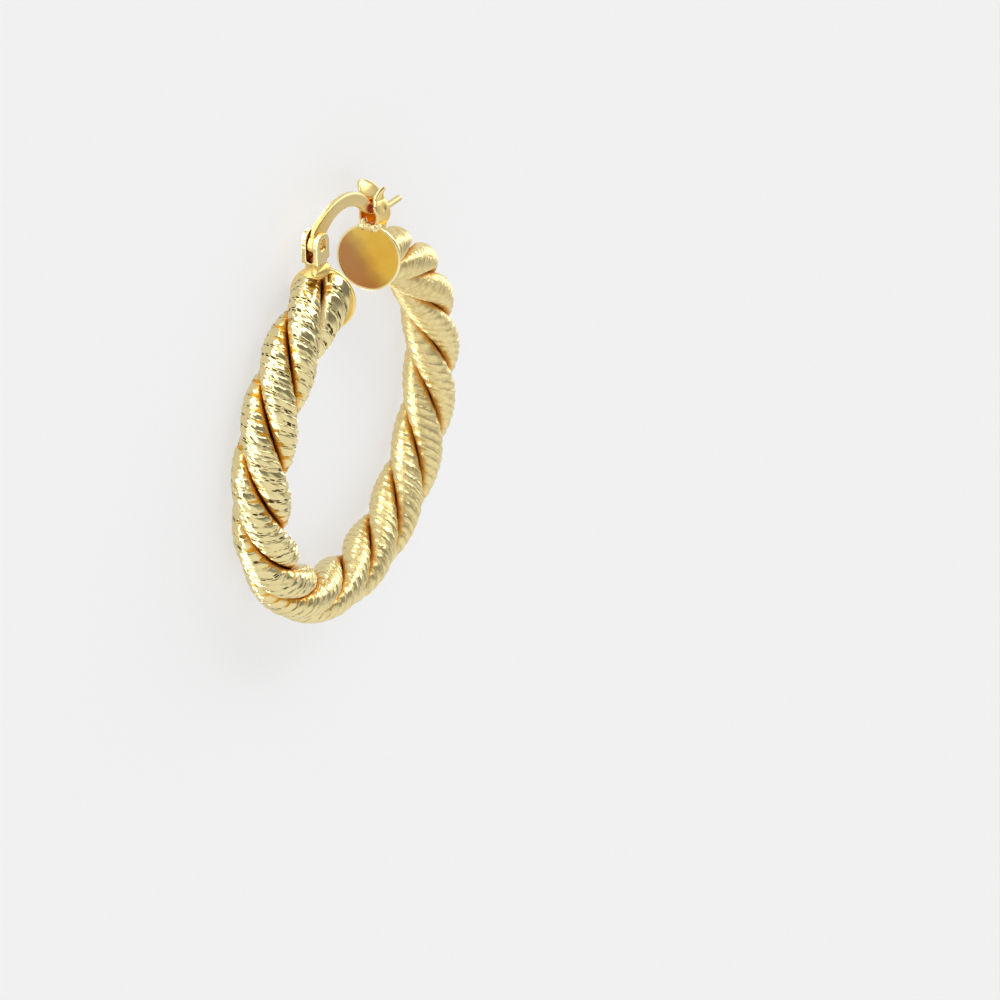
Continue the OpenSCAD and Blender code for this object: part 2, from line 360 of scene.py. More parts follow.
# The cuts are the cells of a pattern, two rows of them in a band. Cells are left out one by
# one and in groups
CUT_ROWS = 2
CUT_LENGTH = 0.66
CUT_DEPTH = 0.06
CUT_JITTER = 0.8
CUT_RIM = (0.3, 0.46)
CUT_KEPT = (0.15, 0.4)
CUT_GROUP = 1.5
CUT_GROUPS = (0.39, 0.48)
CELLS_APART = 7.0
CELLS_SHIFT = 0.37


def cuts(tree, row, rib, band, clear):
    """Short slanted cuts in the bands between the facets."""
    level = maths(tree, "SUBTRACT", row, BAND_FROM)
    level = maths(tree, "MULTIPLY", level, CUT_ROWS / (BAND_TO - BAND_FROM))
    shift = maths(tree, "MULTIPLY", rib, CELLS_SHIFT)
    across = attribute(tree, "across")
    place = tree.nodes.new("ShaderNodeCombineXYZ")
    tree.links.new(maths(tree, "MULTIPLY_ADD", rib, CELLS_APART, level), place.inputs["X"])
    tree.links.new(maths(tree, "MULTIPLY_ADD", across, 1 / CUT_LENGTH, shift), place.inputs["Y"])
    cells = tree.nodes.new("ShaderNodeTexVoronoi")
    cells.voronoi_dimensions = "2D"
    cells.inputs["Scale"].default_value = 1.0
    cells.inputs["Randomness"].default_value = CUT_JITTER
    tree.links.new(place.outputs["Vector"], cells.inputs["Vector"])
    dash = smooth_step(tree, cells.outputs["Distance"], *CUT_RIM, 1.0, 0.0)
    kept = smooth_step(tree, cells.outputs["Color"], *CUT_KEPT)
    grouped = smooth_step(tree, noise_on_part(tree, CUT_GROUP), *CUT_GROUPS)
    for share in (kept, band, clear, grouped):
        dash = maths(tree, "MULTIPLY", dash, share)
    return dash


def strand_metal():
    """Pale gold, finely cut in the bands between the facets; painted shade dark in the cuts and
    amber down the grooves, pale painted light in the grooves below the fork.
    """
    mat, tones = metal("strand_gold", PALE, STRAND_ROUGH, cloud=0.06, cloud_mm=0.8)
    tree = mat.node_tree
    along, crisp, shine = (attribute(tree, name) for name in ("along", "crisp", "shine"))
    groove_shade, core_shade, seam_light = (attribute(tree, name) for name in ("groove_shade", "core_shade", "seam_light"))
    row = maths(tree, "FRACT", along)
    enter = smooth_step(tree, row, BAND_FROM - 0.03, BAND_FROM + 0.05)
    leave = smooth_step(tree, row, BAND_TO - 0.1, BAND_TO - 0.02, 1.0, 0.0)
    band = maths(tree, "MULTIPLY", enter, leave)
    clear = maths(tree, "MAXIMUM", crisp, 0.0)
    dash = cuts(tree, row, maths(tree, "FLOOR", along), band, clear)

    # A fine grain, deeper on the far arm, but smooth again by the catch
    grain = noise_on_part(tree, GRAIN_SIZE)
    depth = maths(tree, "MULTIPLY_ADD", crisp, (NEAR_GRAIN - FAR_GRAIN) * MM, FAR_GRAIN * MM)
    depth = maths(tree, "MULTIPLY", depth, maths(tree, "MULTIPLY_ADD", shine, -SHINE_SMOOTH, 1.0))
    waves = maths(tree, "MULTIPLY", grain, depth)
    bump(tree, maths(tree, "MULTIPLY_ADD", dash, -CUT_DEPTH * MM, waves))

    # Blotches on the softer far arm; painted shade, dark in the cuts, amber down the grooves from
    # light passed from strand to strand, and nearly black at their bottom. Painted light, pale,
    # below the fork
    blotch = smooth_step(tree, grain, *BLOTCH)
    blotch = maths(tree, "MULTIPLY", blotch, maths(tree, "SUBTRACT", 1.0, crisp))
    colour = mix(tree, maths(tree, "MULTIPLY", clear, NEAR_SHARE), tones, NEAR_PALE)
    colour = mix(tree, maths(tree, "MULTIPLY", blotch, BLOTCH_SHARE), colour, KHAKI)
    colour = mix(tree, maths(tree, "MULTIPLY", dash, CUT_SHARE), colour, CUT_PAINTED_SHADE)
    colour = mix(tree, groove_shade, colour, GROOVE_SHADE_AMBER)
    colour = mix(tree, core_shade, colour, GROOVE_BOTTOM_SHADE)
    feed(tree, "Base Color", mix(tree, seam_light, colour, SEAM_PAINTED_LIGHT))
    feed(tree, "Specular Tint", mix(tree, groove_shade, WHITE, GROOVE_SHADE_AMBER))

    rough = maths(tree, "MULTIPLY_ADD", crisp, STRAND_ROUGH - FAR_ROUGH, FAR_ROUGH)
    rough = maths(tree, "MULTIPLY_ADD", band, BAND_ROUGH, rough)
    rough = maths(tree, "MULTIPLY_ADD", shine, -SHINE_GLOSS, rough)
    feed(tree, "Roughness", maths(tree, "MULTIPLY_ADD", groove_shade, GROOVE_ROUGH, rough))
    # The far arm is less metallic; so are the grooves, with their painted amber shade, and the pale
    # painted light below the fork is hardly metallic
    bare = maths(tree, "MULTIPLY_ADD", crisp, FAR_HAZE, 1 - FAR_HAZE)
    bare = maths(tree, "SUBTRACT", bare, seam_light)
    feed(tree, "Metallic", maths(tree, "MULTIPLY_ADD", groove_shade, GROOVE_METAL - 1, bare))
    return mat


WIRE_PALE = (0.85, 0.675, 0.295)
WIRE_DEEP = (0.81, 0.55, 0.17)
DEEP_TO = 0.35


def wire_metal():
    """Satin gold, deeper in tone towards the hinge."""
    mat, tones = metal("wire_gold", WIRE_PALE, 0.3, grain=0.6, grain_mm=0.11, cloud=0.06)
    tree = mat.node_tree
    x, _, _ = axes_of(tree, spot_on_part(tree))
    share = smooth_step(tree, x, -PIN_X * MM, -DEEP_TO * PIN_X * MM, 1.0, 0.0)
    feed(tree, "Base Color", mix(tree, share, tones, WIRE_DEEP))
    return mat


STRAND_GOLD = strand_metal()
WIRE_GOLD = wire_metal()
SOLDER_GOLD, _ = metal(
    "solder_gold", (0.95, 0.8, 0.42), 0.3, grain=0.6, grain_mm=0.14, cloud=0.08, cloud_mm=0.4
)
PIN_GOLD, _ = metal("pin_gold", (0.8, 0.5, 0.13), 0.2, grain=0.1, cloud=0.05)


# The rope

ROPE_FROM = HINGE_CAP_AT + math.degrees((CAP_T + SEAT) / HOOP_R)
ROPE_TO = 360 - CATCH_CAP_AT - math.degrees((CAP_T + SEAT) / HOOP_R)


def skin(psi):
    """Distance from the middle of a strand to its skin, as in the CAD."""
    a = np.radians(psi)
    oval = STRAND_H * STRAND_W / 2 / np.hypot(STRAND_W * np.cos(a), STRAND_H * np.sin(a))
    lean = np.sin(np.abs(a) - math.radians(WEDGE))
    room = STRAND_MID * math.sin(math.radians(WEDGE)) - STRAND_GAP / 2
    flat = np.where(lean > 0.01, room / np.maximum(lean, 0.01), 100 * room)
    return (oval ** -SKIN_CORNER + flat ** -SKIN_CORNER) ** (-1 / SKIN_CORNER)


def near_hinge(angle):
    return np.maximum(0, 1 - (angle - ROPE_FROM) / SQUARE_OFF)


def near_catch(angle):
    return np.maximum(0, 1 - (ROPE_TO - angle) / SQUARE_OFF)


def lay(strand, angle):
    """Angle of a strand round the rope."""
    drift = LAY_DRIFT * (angle / 180 - 1) ** 2
    twist = END_TWIST * near_hinge(angle)
    return LAY_START + LAY_TURNS * angle - drift + twist + strand * 360 / STRANDS


def skin_at(strand, angle, psi, lift):
    """Distance from the hoop's axis and height of a skin point."""
    turn = np.radians(lay(strand, angle))
    a = np.radians(psi)
    swell = 1 + END_SWELL * near_hinge(angle) ** 2
    out = skin(psi) + lift
    radius = HOOP_R + swell * (STRAND_MID * np.cos(turn) + out * np.cos(turn + a))
    return radius, swell * (STRAND_MID * np.sin(turn) + out * np.sin(turn + a))


def back_step(radius, height, cap_turn, lean):
    """Angle from a cap's face to the point that would just touch the cap's back."""
    reach = (CAP_T + SEAT) / math.cos(math.radians(lean)) + height * math.tan(math.radians(lean))
    side = HOOP_R * math.sin(math.radians(cap_turn)) + reach
    return np.degrees(np.arcsin(side / radius)) - cap_turn


def slip(radius, height, angle):
    step = ROPE_FROM - HINGE_CAP_AT
    hinge_slip = back_step(radius, height, HINGE_CAP_TURN, -HINGE_CAP_LEAN) - step
    catch_slip = back_step(radius, height, CATCH_CAP_TURN, CATCH_CAP_LEAN) - step
    return near_hinge(angle) * hinge_slip - near_catch(angle) * catch_slip


def wave(x):
    """A triangle wave between -1 and 1."""
    return 4 * np.abs(x - np.floor(x + 0.5)) - 1


def ramp(value, start, length):
    """A straight ramp from 0 to 1."""
    return np.clip((value - start) / length, 0, 1)


def round_hoop(base, table):
    """A value at each ring, from a table of angles round the hoop and values there."""
    return np.interp(base, *table)[:, None]


def strand_angles(strand, rng):
    """Angles of all the rings of a strand, and where each lies in its rib."""
    table = np.linspace(ROPE_FROM, ROPE_TO, 4000)
    reach = HOOP_R + ROPE_R * np.cos(np.radians(lay(strand, table)))
    count = np.concatenate([[0], np.cumsum(np.radians(np.diff(table)) * reach[1:] / RIB_PITCH)])
    ribs = int(count[-1])
    count *= ribs / count[-1]
    edges = np.arange(ribs + 1) + np.pad(rng.uniform(-RIB_JITTER, RIB_JITTER, ribs - 1), 1)
    share = np.concatenate([[i + row for row in RIB_ROWS] for i in range(ribs)] + [[ribs]])
    return np.interp(np.interp(share, np.arange(ribs + 1), edges), count, table), share


def rib_relief(rng, base, share, side, crisp):
    """Depth of the ribs, and how far the painted amber shade reaches out of the grooves at each
    point.

    The facets are flat by the hinge, rounder and softer on the far arm, and rings half as
    wide by the catch.
    """
    rib = np.minimum(share.astype(int), int(share[-1]) - 1)
    count = rib.max() + 2

    def of_rib(values):
        return values[..., rib][..., None]

    row = (share - rib)[:, None]
    off = np.minimum(np.abs(row - FACET_MID) / FACET_HALF, 1.0)
    across = np.radians(side) * SIDE_R
    lean = of_rib(rng.normal(0, FACET_LEAN, count)) * (row - FACET_MID) / FACET_HALF
    waves = of_rib(rng.uniform(0, 2 * math.pi, (3, count)))
    finger = np.where(side > 0, *of_rib(rng.uniform(*FINGERS, (2, count))))
    finger = finger * np.clip(1 - np.abs(row - BAND_MID) / FINGER_HALF, 0, 1) * crisp

    ripple = np.sin(SHORT_WAVE * across + waves[0]) + 0.7 * np.sin(LONG_WAVE * across + waves[1])
    flat = FACET_FLAT * off ** 2 + (FACET_EDGE - FACET_FLAT) * off ** 8
    open_side = ramp(-np.abs(side), -96, 14)
    facet = flat - open_side * (lean + FACET_RIPPLE * ripple * (1 - off ** 4))
    turns = row * RIB_PITCH / TOOTH_PITCH + across / TOOTH_LENGTH
    turns = turns + of_rib(rng.uniform(-0.5, 0.5, count))
    teeth = BAND_D - TOOTH_D * wave(turns + 0.2 * np.sin(LONG_WAVE * across + waves[2]))
    in_band = (row > BAND_FROM) & (row < BAND_TO)
    sharp = np.where(off < 1, facet, np.where(in_band, teeth, GROOVE_D))

    bead = BEAD_CROWN * np.abs(np.sin(math.pi * (row - FACET_MID))) ** 1.6
    ring = RING_D * (1 - np.cos(4 * math.pi * row))
    rings_share = round_hoop(base, RINGS)
    soft = bead * (1 - rings_share) + ring * rings_share
    return crisp * sharp + (1 - crisp) * soft, finger


def strand_mesh(strand):
    """Rings of points along one ribbed strand, and marks for its material at each point."""
    rng = np.random.default_rng(FIRST_SEED + strand)
    base, share = strand_angles(strand, rng)
    side = np.concatenate([
        np.linspace(-VISIBLE, VISIBLE, SHOWN_POINTS),
        np.linspace(VISIBLE, 360 - VISIBLE, HIDDEN_POINTS)[1:-1],
    ])[None, :]
    side = np.where(side > 180, side - 360, side)
    angle = np.broadcast_to(base[:, None], (len(base), side.size))
    # The ribs lie a little slanted across the strand, and square with the caps at its ends
    lateral = skin(side) * np.sin(np.radians(side))
    centre = HOOP_R + STRAND_MID * np.cos(np.radians(lay(strand, angle)))
    ends = np.maximum(near_hinge(angle), near_catch(angle))
    tilt = np.tan(np.radians(round_hoop(base, RIB_TILT)))
    slant = np.degrees(lateral * tilt / centre) * np.clip(1.6 * (1 - ends), 0, 1)

    crisp = round_hoop(base, CRISP)
    depth, finger = rib_relief(rng, base, share, side, crisp)
    lift = -depth * ramp(-np.abs(side), -VISIBLE, 8) * np.clip((1 - ends) * 14, 0, 1) - SKIN_SINK
    place = angle + slant
    for _ in range(5):
        radius, height = skin_at(strand, place, side, lift)
        place = angle + slant + slip(radius, height, angle)
    radius, height = skin_at(strand, place, side, lift)
    t = np.radians(place)
    rings = np.stack([-radius * np.sin(t), radius * np.cos(t), height], -1)

    # Below the fork, between strand_1 and strand_3, the painted shade mostly gives way to pale
    # painted light
    tint = np.where(side * (strand - 1) > 0, round_hoop(base, BELOW_FORK), 1.0)
    # How far the painted amber shade reaches out of the grooves, with its fingers
    shade_reach = ramp(np.abs(side) + finger, 87, 16)
    marks = {
        "groove_shade": shade_reach * tint * (0.8 + 0.2 * crisp),
        "core_shade": ramp(np.abs(side), 102, 6) * (0.2 + 0.8 * crisp) * tint,
        "seam_light": ramp(np.abs(side), 84, 12) * (1 - tint),
        "crisp": crisp + round_hoop(base, SATIN),
        "shine": round_hoop(base, SHINE),
        "along": share[:, None],
        "across": np.radians(side) * SIDE_R,
    }
    return rings, {name: np.broadcast_to(mark, angle.shape) for name, mark in marks.items()}


def mark_points(obj, name, values):
    """Give each point of a tube a value, and the middle of each end that end's mean."""
    values = np.append(values, [values[0].mean(), values[-1].mean()])
    layer = obj.data.attributes.new(name, "FLOAT", "POINT")
    layer.data.foreach_set("value", values.astype(np.float32))


def make_strand(strand):
    name = f"strand_{strand + 1}"
    rings, marks = strand_mesh(strand)
    verts, faces = tube(rings)
    obj = piece(name + "_ribbed", verts, faces, "hoop", [name], STRAND_GOLD)
    for mark, values in marks.items():
        mark_points(obj, mark, values)


for index in range(STRANDS):
    make_strand(index)


# The caps

# A turned piece closes with a fan from this small ring round its axis
LATHE_HUB = 0.02
CAP_LIP = 0.045
CAP_POINTS = 144
# Painted reflection on the catch's cap, orange-brown on one side running into gold
CAP_REFLECTION_BROWN = (0.53, 0.275, 0.11)
RIM_GOLD = (0.93, 0.8, 0.45)
TINT_WAY = (0.649, 0.479, 0.589)
TINT_FROM = -0.5
TINT_TO = 1.5
TINT_PATCH = 2.5
TINT_DRIFT = 1.6


def lathe(profile, count):
    """A closed solid of revolution round Z, from a profile of radius and height."""
    a = np.linspace(0, 2 * math.pi, count, endpoint=False)
    rings = np.array([[(r * math.cos(t), r * math.sin(t), z) for t in a] for r, z in profile])
    return tube(rings)


def arc(cx, cy, r, start, end, count):
    """Points of an arc, in degrees."""
    return [
        (cx + r * math.cos(math.radians(a)), cy + r * math.sin(math.radians(a)))
        for a in np.linspace(start, end, count)
    ]


def cap_profile():
    """Half a section of a cap, with a rounded edge and a raised rim."""
    edge = CAP_T / 2
    inner = CAP_R - RIM_W
    profile = [(LATHE_HUB, -RIM_H), (inner / 2, -RIM_H)]
    profile += arc(inner - CAP_LIP, -RIM_H + CAP_LIP, CAP_LIP, 270, 350, 5)
    profile += arc(inner + CAP_LIP, -CAP_LIP, CAP_LIP, 170, 90, 5)
    profile += arc(CAP_R - edge, -edge, edge, 90, -90, 17)
    profile += [(CAP_R / 2, -CAP_T), (LATHE_HUB, -CAP_T)]
    return profile[::-1]


def paint_cap_reflection(mat, tones, centre):
    """A painted reflection: orange-brown on the low side of the catch's cap, running softly into
    gold.
    """
    tree = mat.node_tree
    away = vectors(tree, "SUBTRACT", spot_on_part(tree), centre)
    height = vectors(tree, "DOT_PRODUCT", away, TINT_WAY)
    drift = maths(tree, "MULTIPLY_ADD", noise_on_part(tree, TINT_PATCH), TINT_DRIFT * MM, height)
    face = mix(tree, smooth_step(tree, drift, TINT_FROM * MM, TINT_TO * MM), CAP_REFLECTION_BROWN, tones)
    # The rim round the recess is paler
    inner = CAP_R - RIM_W
    radius = vectors(tree, "LENGTH", away)
    on_rim = smooth_step(tree, radius, (inner - 0.02) * MM, (inner + 0.05) * MM)
    feed(tree, "Base Color", mix(tree, on_rim, face, RIM_GOLD))


def make_caps():
    for name, place, node, gold in (
        ("hinge_cap", HINGE_CAP, "hinge_end", (0.95, 0.72, 0.27)),
        ("catch_cap", CATCH_CAP, "catch_end", (0.93, 0.76, 0.24)),
    ):
        mat, tones = metal(
            name + "_gold", gold, 0.22, grain=0.12, grain_mm=0.12, cloud=0.08, cloud_mm=1.2
        )
        if node == "catch_end":
            paint_cap_reflection(mat, tones, (PLACE @ place).to_translation() * MM)
        verts, faces = lathe(cap_profile(), CAP_POINTS)
        piece(name, verts, faces, "hoop", [node], mat, place)


make_caps()


# The ear wire

EYE_PLAY = 0.03
EYE_EDGE = 0.12
EYE_POINTS = 64


def wire_line():
    """Places along the ear wire as x, y, heading and width, from the pin to the tip."""
    degree = BOW_R * math.pi / 180
    # Length, turn in degrees, width at the end, and steps
    runs = [
        (1.45, -35, 2 * EYE_R, 8),
        (15 * degree, -15, 1.5, 8),
        (13 * degree, -13, WIRE_W, 8),
        (48 * degree, -48, WIRE_W - 0.12, 26),
        (1, 9, 1, 6),
        (1.5, 13, TAIL_START_W, 8),
        (2.55, 20, TAIL_W, 12),
        (TAIL_L, 0, TAIL_W, 8),
    ]
    x, y, heading, width = -PIN_X, PIN_Y, WIRE_HEADING, 2 * EYE_R
    line = [(x, y, heading, width)]
    for length, turn, end_width, count in runs:
        before = width
        for i in range(count):
            way = math.radians(heading + turn / count / 2)
            x += length / count * math.cos(way)
            y += length / count * math.sin(way)
            heading += turn / count
            width = before + (end_width - before) * (i + 1) / count
            line.append((x, y, heading, width))
    return line


def rounded_bar(width, thick, corner, count=5):
    """Section of a flat bar with round edges, as points across it and through it."""
    corner = min(corner, width / 2 - 0.01, thick / 2 - 0.01)
    w, t = width / 2 - corner, thick / 2 - corner
    points = arc(w, t, corner, 0, 90, count) + arc(-w, t, corner, 90, 180, count)
    return points + arc(-w, -t, corner, 180, 270, count) + arc(w, -t, corner, 270, 360, count)


def wire_ring(x, y, heading, width, ahead=0.0, across=1.0, through=1.0):
    """One ring of the wire, moved ahead and drawn in where the tip is rounded off."""
    a = math.radians(heading)
    return [
        (
            x + ahead * math.cos(a) - s * across * math.sin(a),
            y + ahead * math.sin(a) + s * across * math.cos(a),
            t * through,
        )
        for s, t in rounded_bar(width, WIRE_T, WIRE_EDGE)
    ]


def make_wire():
    line = wire_line()[2:]
    rings = [wire_ring(*spot) for spot in line]
    for lift in np.radians(np.linspace(20, 88, 6)):
        ahead, share = math.sin(lift) * line[-1][3] / 2, math.cos(lift)
        rings.append(wire_ring(*line[-1], ahead, share, 0.4 + 0.6 * share))
    verts, faces = tube(np.array(rings))
    piece("ear_wire_bow", verts, faces, "ear_wire", ["ear_wire"], WIRE_GOLD)

    inner, outer = PIN_R + EYE_PLAY + EYE_EDGE, EYE_R - EYE_EDGE
    half = WIRE_T / 2 - EYE_EDGE
    profile = arc(outer, half, EYE_EDGE, 0, 90, 6) + arc(inner, half, EYE_EDGE, 90, 180, 6)
    profile += arc(inner, -half, EYE_EDGE, 180, 270, 6) + arc(outer, -half, EYE_EDGE, 270, 360, 6)
    around = np.linspace(0, 2 * math.pi, EYE_POINTS, endpoint=False)
    rings = np.array([[(r * math.cos(t), r * math.sin(t), z) for r, z in profile] for t in around])
    verts = rings.reshape(-1, 3)
    faces = grid_faces(EYE_POINTS + 1, len(profile))[:, ::-1] % len(verts)
    spot = Matrix.Translation((-PIN_X, PIN_Y, 0))
    piece("ear_wire_eye", verts, faces, "ear_wire", ["ear_wire"], WIRE_GOLD, spot)


make_wire()


# The fork, melted together from plain solids and softened as a casting is

FORK_GOLD = (0.82, 0.65, 0.31)
# Painted shade down in the slot
SLOT_SHADE_BROWN = (0.3, 0.09, 0.02)
FOOT_GOLD = (0.74, 0.52, 0.18)
# Painted shade in the pin's countersink
SINK_SHADE_AMBER = (0.62, 0.33, 0.06)
FOOT_DULL = 0.22
EAR_BOTTOM = 19.75
EAR_POINTS = 72
EAR_CORNER = 7
SLOT_FLOOR = 19.85
SINK_R = 0.58
SINK_END_R = 0.5
SINK_D = 0.16
BORE_PLAY = 0.01
FORK_VOXEL = 0.04
FORK_RELAX = 5
PIN_POINTS = 40

# The neck and the foot: height, half its length along the wire, half its thickness
FOOT = [
    (18.5, 1.05, 1.0),
    (18.75, 0.95, 0.9),
    (19.1, 0.86, 0.79),
    (19.45, 0.88, 0.77),
    (19.75, 0.98, 0.8),
    (19.95, 1.04, 0.82),
]
FOOT_CORNER = 0.5
# The solder: the middle of each lump from the pin, and its radii
BEAD = ((0.06, 18.88, 0.5), (1.2, 0.62, 0.68))
SADDLE = ((0.4, 18.6, 0.0), (1.2, 0.6, 1.0))


def fork_metal():
    """Bright gold, with painted shade dark red-brown down in the slot and amber in the pin's
    countersink, and dull at the foot that was soldered.
    """
    mat, tones = metal("fork_gold", FORK_GOLD, 0.17, grain=0.1, grain_mm=0.2, cloud=0.05)
    tree = mat.node_tree
    spot = spot_on_part(tree)
    x, y, z = axes_of(tree, spot)
    low = (SLOT_LOW + CENTRE_Y) * MM
    front = (-PIN_X - EAR_W / 2) * MM
    off = maths(tree, "ABSOLUTE", maths(tree, "SUBTRACT", z, CENTRE_Z * MM))
    # The painted shade in the slot leaves the front of the fork bright round the end of the slot
    slot = smooth_step(tree, off, (SLOT_W / 2 - 0.02) * MM, (SLOT_W / 2 + 0.05) * MM, 1.0, 0.0)
    for share in (
        smooth_step(tree, x, front + 0.05 * MM, front + 0.14 * MM),
        smooth_step(tree, y, low + 1.6 * MM, low + 0.7 * MM),
        smooth_step(tree, y, low - 0.1 * MM, low + 0.05 * MM),
    ):
        slot = maths(tree, "MULTIPLY", slot, share)
    foot = smooth_step(tree, y, low - 0.1 * MM, low - 0.6 * MM)
    # Painted shade, amber, down in the countersink of the pin
    pin_end = (-PIN_X * MM, (PIN_Y + CENTRE_Y) * MM, (CENTRE_Z + FORK_T / 2) * MM)
    radius = vectors(tree, "LENGTH", vectors(tree, "SUBTRACT", spot, pin_end))
    sink = smooth_step(tree, radius, SINK_END_R * MM, (SINK_R + 0.04) * MM, 1.0, 0.0)
    colour = mix(tree, slot, tones, SLOT_SHADE_BROWN)
    colour = mix(tree, foot, colour, FOOT_GOLD)
    feed(tree, "Base Color", mix(tree, sink, colour, SINK_SHADE_AMBER))
    rough = tree.nodes["Principled BSDF"].inputs["Roughness"].links[0].from_socket
    feed(tree, "Roughness", maths(tree, "MULTIPLY_ADD", foot, FOOT_DULL, rough))
    return mat


def soften(name, parts, voxel, smooth, body, nodes, material, place=None):
    """One smooth solid from overlapping closed ones, with its edges rounded."""
    mesh = bpy.data.meshes.new(name + "_rough")
    verts, faces = [], []
    for part_verts, part_faces in parts:
        start = len(verts)
        verts += [tuple(v) for v in part_verts]
        faces += [tuple(int(i) + start for i in f) for f in part_faces]
    mesh.from_pydata(verts, [], faces)
    mesh.update()
    obj = bpy.data.objects.new(name + "_rough", mesh)
    bpy.context.scene.collection.objects.link(obj)
    remesh = obj.modifiers.new("melt", "REMESH")
    remesh.mode = "VOXEL"
    remesh.voxel_size = voxel
    relax = obj.modifiers.new("relax", "SMOOTH")
    relax.factor = 0.5
    relax.iterations = smooth
    view = bpy.context.evaluated_depsgraph_get()
    done = obj.evaluated_get(view).to_mesh()
    count = len(done.vertices)
    points = np.empty(count * 3)
    done.vertices.foreach_get("co", points)
    melted = [tuple(p.vertices) for p in done.polygons]
    obj.evaluated_get(view).to_mesh_clear()
    bpy.data.objects.remove(obj)
    bpy.data.meshes.remove(mesh)
    return piece(name, points.reshape(-1, 3), melted, body, nodes, material, place)


def slab(outline, low, high, axis=2):
    """A prism from a flat outline, between two heights along an axis."""
    n = len(outline)
    rings = []
    for h in (low, high):
        for u, v in outline:
            rings.append((u, v, h) if axis == 2 else (h, v, -u))
    faces = [tuple(range(n))[::-1], tuple(range(n, 2 * n))]
    faces += [(i, (i + 1) % n, n + (i + 1) % n, n + i) for i in range(n)]
    return rings, faces


def ball(centre, radii, rings=16, steps=24):
    """An ellipsoid."""
    rows = []
    for i in np.linspace(4, 176, rings):
        a = math.radians(i)
        rows.append([
            (
                centre[0] + radii[0] * math.sin(a) * math.cos(t),
                centre[1] + radii[1] * math.sin(a) * math.sin(t),
                centre[2] + radii[2] * math.cos(a),
            )
            for t in np.linspace(0, 2 * math.pi, steps, endpoint=False)
        ])
    return tube(np.array(rows), flip=True)


def ear(inner, outer, rise, sink):
    """One ear of the fork, a ring round the pin's bore with a straight lower edge."""
    around = np.radians(np.linspace(0, 360, EAR_POINTS, endpoint=False))
    outline = []
    for c, s in zip(np.cos(around), np.sin(around)):
        reach = EAR_W / 2 / max(abs(c), 1e-6)
        if s < 0:
            # The lower corners are rounded off
            down = (PIN_Y - EAR_BOTTOM) / -s
            reach = (reach ** -EAR_CORNER + down ** -EAR_CORNER) ** (-1 / EAR_CORNER)
        else:
            # The round top, whose middle may lie above the pin
            b = rise * s
            reach = min(reach, b + math.sqrt(max(0.0, b * b - rise * rise + (EAR_W / 2) ** 2)))
        outline.append((reach * c, reach * s))
    bore = PIN_R + BORE_PLAY
    floor = outer - math.copysign(SINK_D, outer - inner) if sink else outer
    rows = [(SINK_R, outer), (SINK_END_R, floor)] if sink else []
    rows += [(bore, floor), (bore, inner)]
    rings = [[(x, y, z) for x, y in outline] for z in (inner, outer)]
    rings += [[(r * math.cos(t), r * math.sin(t), z) for t in around] for r, z in rows]
    verts = np.array(rings).reshape(-1, 3) + (-PIN_X, PIN_Y, 0.0)
    faces = grid_faces(len(rings) + 1, len(around)) % len(verts)
    return verts, faces if outer > inner else faces[:, ::-1]


def make_fork():
    half_t, half_slot, half_w = FORK_T / 2, SLOT_W / 2, EAR_W / 2
    cup_y = SLOT_LOW + half_slot
    cup = arc(0.0, cup_y, half_slot, 180, 360, 13)
    # Seen along the wire: the solid under the slot, from one side to the other
    base = [(-half_t, cup_y)] + cup + [(half_t, cup_y), (half_t, SLOT_FLOOR), (-half_t, SLOT_FLOOR)]
    under_slot = slab(base[::-1], -PIN_X - half_w, -PIN_X + half_w, axis=0)
    stem = []
    for y, long, thick in FOOT:
        section = rounded_bar(2 * long, 2 * thick, FOOT_CORNER, 6)
        stem.append([(-PIN_X + u, y, t) for u, t in section])
    lumps = [ball((-PIN_X + x, y, z), radii) for (x, y, z), radii in (BEAD, SADDLE)]
    parts = [
        ear(half_slot, half_t, 0.0, True),
        ear(-half_slot, -half_t, FAR_EAR_RISE, False),
        under_slot,
        tube(np.array(stem), flip=True),
    ]
    gold = fork_metal()
    soften("fork", parts + lumps, FORK_VOXEL, FORK_RELAX, "hoop", ["hinge_end"], gold)
    top = half_t - PIN_SHORT
    profile = [(LATHE_HUB, -half_t + 0.02), (PIN_R * 0.8, -half_t + 0.02), (PIN_R, -half_t + 0.08)]
    profile += [(PIN_R, top - 0.06), (PIN_R * 0.75, top), (LATHE_HUB, top)]
    verts, faces = lathe(profile, PIN_POINTS)
    spot = Matrix.Translation((-PIN_X, PIN_Y, 0))
    piece("pin", verts, faces, "hoop", ["hinge_pin"], PIN_GOLD, spot)


make_fork()


# The catch

THROAT_Z = WIRE_T / 2 + THROAT_PLAY + SHEET_T / 2
WALL_FOOT = 2.6
LIP_FLARE_POWER = 1.9
LIP_CUP = 0.08
CUP_FROM = 3.2
CUP_OVER = 1.5
DIMPLE_D = 0.12
DIMPLE_H = 4.75
DIMPLE_U = 0.35
DIMPLE_R = 0.32
INNER_TO = 5.75
INNER_FADE = 0.5
CATCH_GOLD = (0.93, 0.75, 0.36)
CATCH_DEEP = (0.55, 0.15, 0.01)

# Edges of the two walls: height above the rope, and how far the edge lies towards the gap
FAR_FRONT = [
    (2.6, 1.3), (4, 1.4), (5.2, 1.6), (5.9, 2.15), (6.4, 2.52), (6.8, 2.35), (7.05, 2.1),
    (7.15, 1.6)
]
FAR_BACK = [
    (2.6, -1.0), (4, -1.05), (5.4, -1.05), (5.8, -0.96), (6.2, -0.7), (6.6, -0.2), (6.8, 0.4),
    (7.02, 1.15), (7.15, 1.6)
]
NEAR_FRONT = [
    (2.6, 1.3), (3.4, 1.2), (4.2, 1.55), (4.6, 1.9), (5, 1.95), (5.5, 1.6), (6, 1.35), (6.4, 1.1),
    (6.78, 0.8)
]
NEAR_BACK = [
    (2.6, -1.0), (4, -1.06), (4.7, -0.85), (5.45, -0.3), (6.1, 0.3), (6.6, 0.42), (6.78, 0.6)
]

